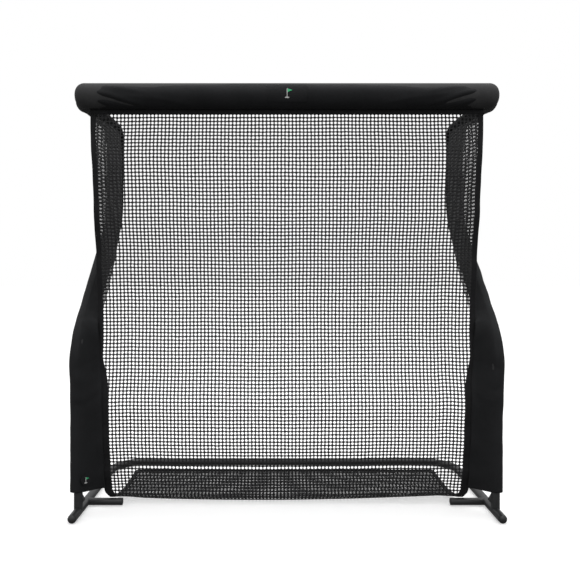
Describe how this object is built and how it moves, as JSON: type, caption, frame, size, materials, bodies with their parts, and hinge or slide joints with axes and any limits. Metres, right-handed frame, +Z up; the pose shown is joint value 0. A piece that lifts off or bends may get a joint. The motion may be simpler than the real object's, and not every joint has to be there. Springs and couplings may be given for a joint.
{
  "type": "golf chipping net",
  "caption": "Free-standing golf chipping net: tube frame with a U-shaped base, padded top bar, fabric sleeves on bent side tubes, and a square-mesh sheet that lies back along the floor.",
  "frame": {"origin": "on the floor at the centre of the frame's outline", "axes": "+X across to the right seen from the front, +Y from the front to the back, +Z up"},
  "size_m": [1.512, 0.754, 1.5135],
  "materials": {
    "tube_paint": "black powder coat, semi-matte",
    "button_steel": "zinc plated",
    "spring_steel": "blued spring steel",
    "cap_plastic": "moulded black plastic",
    "sleeve_fabric": "black woven polyester with a soft sheen",
    "net_cord": "black knotless polyester mesh",
    "webbing": "black woven webbing",
    "foam": "closed-cell foam",
    "label_fabric": "woven label"
  },
  "bodies": {
    "frame": {"arm_sleeve_left": "sleeve_fabric", "arm_sleeve_right": "sleeve_fabric", "base_corner_left": "tube_paint", "base_corner_right": "tube_paint", "base_crossbar": "tube_paint", "base_side_tube_left": "tube_paint", "base_side_tube_right": "tube_paint", "button_springs": "spring_steel", "cover_patch": "label_fabric", "edge_panel_left": "sleeve_fabric", "edge_panel_right": "sleeve_fabric", "floor_edge_left": "webbing", "floor_edge_right": "webbing", "floor_net": "net_cord", "front_cap_left": "cap_plastic", "front_cap_right": "cap_plastic", "gusset_left": "tube_paint", "gusset_right": "tube_paint", "lower_upright_left": "tube_paint", "lower_upright_right": "tube_paint", "main_net": "net_cord", "net_binding_left": "webbing", "net_binding_right": "webbing", "net_stub_left": "tube_paint", "net_stub_right": "tube_paint", "post_left": "tube_paint", "post_right": "tube_paint", "rear_hem": "webbing", "side_net_left": "net_cord", "side_net_right": "net_cord", "side_sleeve_left": "sleeve_fabric", "side_sleeve_right": "sleeve_fabric", "sleeve_badge": "label_fabric", "stub_cap_left": "cap_plastic", "stub_cap_right": "cap_plastic", "top_arm_left": "tube_paint", "top_arm_right": "tube_paint", "top_bar": "tube_paint", "top_cover": "sleeve_fabric", "top_hem": "webbing", "top_pad": "foam", "upper_upright_left": "tube_paint", "upper_upright_right": "tube_paint"},
    "post_button_right": {"post_button_right": "button_steel"},
    "post_button_left": {"post_button_left": "button_steel"},
    "slant_button_right": {"slant_button_right": "button_steel"},
    "slant_button_left": {"slant_button_left": "button_steel"},
    "rear_button_right": {"rear_button_right": "button_steel"},
    "rear_button_left": {"rear_button_left": "button_steel"},
    "top_button_right": {"top_button_right": "button_steel"},
    "top_button_left": {"top_button_left": "button_steel"},
    "base_side_button_right": {"base_side_button_right": "button_steel"},
    "base_side_button_left": {"base_side_button_left": "button_steel"},
    "base_rear_button_right": {"base_rear_button_right": "button_steel"},
    "base_rear_button_left": {"base_rear_button_left": "button_steel"}
  },
  "joints": [
    {"name": "post_button_press_right", "type": "slide", "parent": "frame", "child": "post_button_right", "axis": [1, 0, 0], "range_m": [0, 0.0045], "stiffness_N_per_m": 900, "springref_m": -0.002, "deforming": ["button_springs"]},
    {"name": "post_button_press_left", "type": "slide", "parent": "frame", "child": "post_button_left", "axis": [-1, 0, 0], "range_m": [0, 0.0045], "stiffness_N_per_m": 900, "springref_m": -0.002, "deforming": ["button_springs"]},
    {"name": "slant_button_press_right", "type": "slide", "parent": "frame", "child": "slant_button_right", "axis": [1, 0, 0], "range_m": [0, 0.0045], "stiffness_N_per_m": 900, "springref_m": -0.002, "deforming": ["button_springs"]},
    {"name": "slant_button_press_left", "type": "slide", "parent": "frame", "child": "slant_button_left", "axis": [-1, 0, 0], "range_m": [0, 0.0045], "stiffness_N_per_m": 900, "springref_m": -0.002, "deforming": ["button_springs"]},
    {"name": "rear_button_press_right", "type": "slide", "parent": "frame", "child": "rear_button_right", "axis": [1, 0, 0], "range_m": [0, 0.0045], "stiffness_N_per_m": 900, "springref_m": -0.002, "deforming": ["button_springs"]},
    {"name": "rear_button_press_left", "type": "slide", "parent": "frame", "child": "rear_button_left", "axis": [-1, 0, 0], "range_m": [0, 0.0045], "stiffness_N_per_m": 900, "springref_m": -0.002, "deforming": ["button_springs"]},
    {"name": "top_button_press_right", "type": "slide", "parent": "frame", "child": "top_button_right", "axis": [0, 0, 1], "range_m": [0, 0.0045], "stiffness_N_per_m": 900, "springref_m": -0.002, "deforming": ["button_springs"]},
    {"name": "top_button_press_left", "type": "slide", "parent": "frame", "child": "top_button_left", "axis": [0, 0, 1], "range_m": [0, 0.0045], "stiffness_N_per_m": 900, "springref_m": -0.002, "deforming": ["button_springs"]},
    {"name": "base_side_button_press_right", "type": "slide", "parent": "frame", "child": "base_side_button_right", "axis": [0, 0, -1], "range_m": [0, 0.0045], "stiffness_N_per_m": 900, "springref_m": -0.002, "deforming": ["button_springs"]},
    {"name": "base_side_button_press_left", "type": "slide", "parent": "frame", "child": "base_side_button_left", "axis": [0, 0, -1], "range_m": [0, 0.0045], "stiffness_N_per_m": 900, "springref_m": -0.002, "deforming": ["button_springs"]},
    {"name": "base_rear_button_press_right", "type": "slide", "parent": "frame", "child": "base_rear_button_right", "axis": [0, 0, -1], "range_m": [0, 0.0045], "stiffness_N_per_m": 900, "springref_m": -0.002, "deforming": ["button_springs"]},
    {"name": "base_rear_button_press_left", "type": "slide", "parent": "frame", "child": "base_rear_button_left", "axis": [0, 0, -1], "range_m": [0, 0.0045], "stiffness_N_per_m": 900, "springref_m": -0.002, "deforming": ["button_springs"]}
  ]
}
